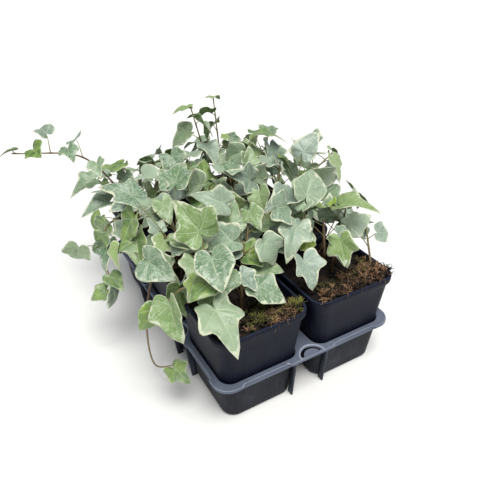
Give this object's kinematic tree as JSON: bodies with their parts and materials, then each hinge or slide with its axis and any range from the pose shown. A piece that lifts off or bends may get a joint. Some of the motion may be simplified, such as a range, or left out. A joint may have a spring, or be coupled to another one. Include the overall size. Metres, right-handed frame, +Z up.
{
  "type": "potted english ivy in a carry tray",
  "caption": "Variegated trailing ivy in square black nursery pots, grown together over a moulded carry tray with tapered pockets.",
  "frame": {"origin": "middle of the whole object's box, on the surface that the tray stands on", "axes": "+Z up; +X to the right along the tray's short side, seen from the front; +Y to the back along the tray's long side"},
  "size_m": [0.3272, 0.3092, 0.2079],
  "materials": {
    "tray": "satin dark grey moulded plastic, dusty",
    "pot": "satin black moulded plastic with fine upright lines",
    "soil": "rough dark brown potting soil",
    "leaf": "half-gloss grey-green leaves with cream edges and pale veins",
    "stem": "smooth green to red-brown stems",
    "moss": "dull green-brown moss and fibres"
  },
  "bodies": {
    "root": {"carry_tray": "tray", "ivy_stem_11_1": "leaf", "ivy_stem_11_2": "leaf", "ivy_stem_11_3": "leaf", "ivy_stem_11_4": "leaf", "ivy_stem_11_5": "leaf", "ivy_stem_11_6": "leaf", "ivy_stem_12_1": "leaf", "ivy_stem_12_2": "leaf", "ivy_stem_12_3": "leaf", "ivy_stem_12_4": "leaf", "ivy_stem_12_5": "leaf", "ivy_stem_12_6": "leaf", "ivy_stem_13_1": "leaf", "ivy_stem_13_2": "leaf", "ivy_stem_13_3": "leaf", "ivy_stem_13_4": "leaf", "ivy_stem_13_5": "leaf", "ivy_stem_13_6": "leaf", "ivy_stem_21_1": "leaf", "ivy_stem_21_2": "leaf", "ivy_stem_21_3": "leaf", "ivy_stem_21_4": "leaf", "ivy_stem_21_5": "leaf", "ivy_stem_21_6": "leaf", "ivy_stem_22_1": "leaf", "ivy_stem_22_2": "leaf", "ivy_stem_22_3": "leaf", "ivy_stem_22_4": "leaf", "ivy_stem_22_5": "leaf", "ivy_stem_22_6": "leaf", "ivy_stem_23_1": "leaf", "ivy_stem_23_2": "leaf", "ivy_stem_23_3": "leaf", "ivy_stem_23_4": "leaf", "ivy_stem_23_5": "leaf", "ivy_stem_23_6": "leaf", "pot_11": "pot", "pot_12": "pot", "pot_13": "pot", "pot_21": "pot", "pot_22": "pot", "pot_23": "pot", "soil_11": "soil", "soil_12": "soil", "soil_13": "soil", "soil_21": "soil", "soil_22": "soil", "soil_23": "soil"}
  },
  "joints": []
}
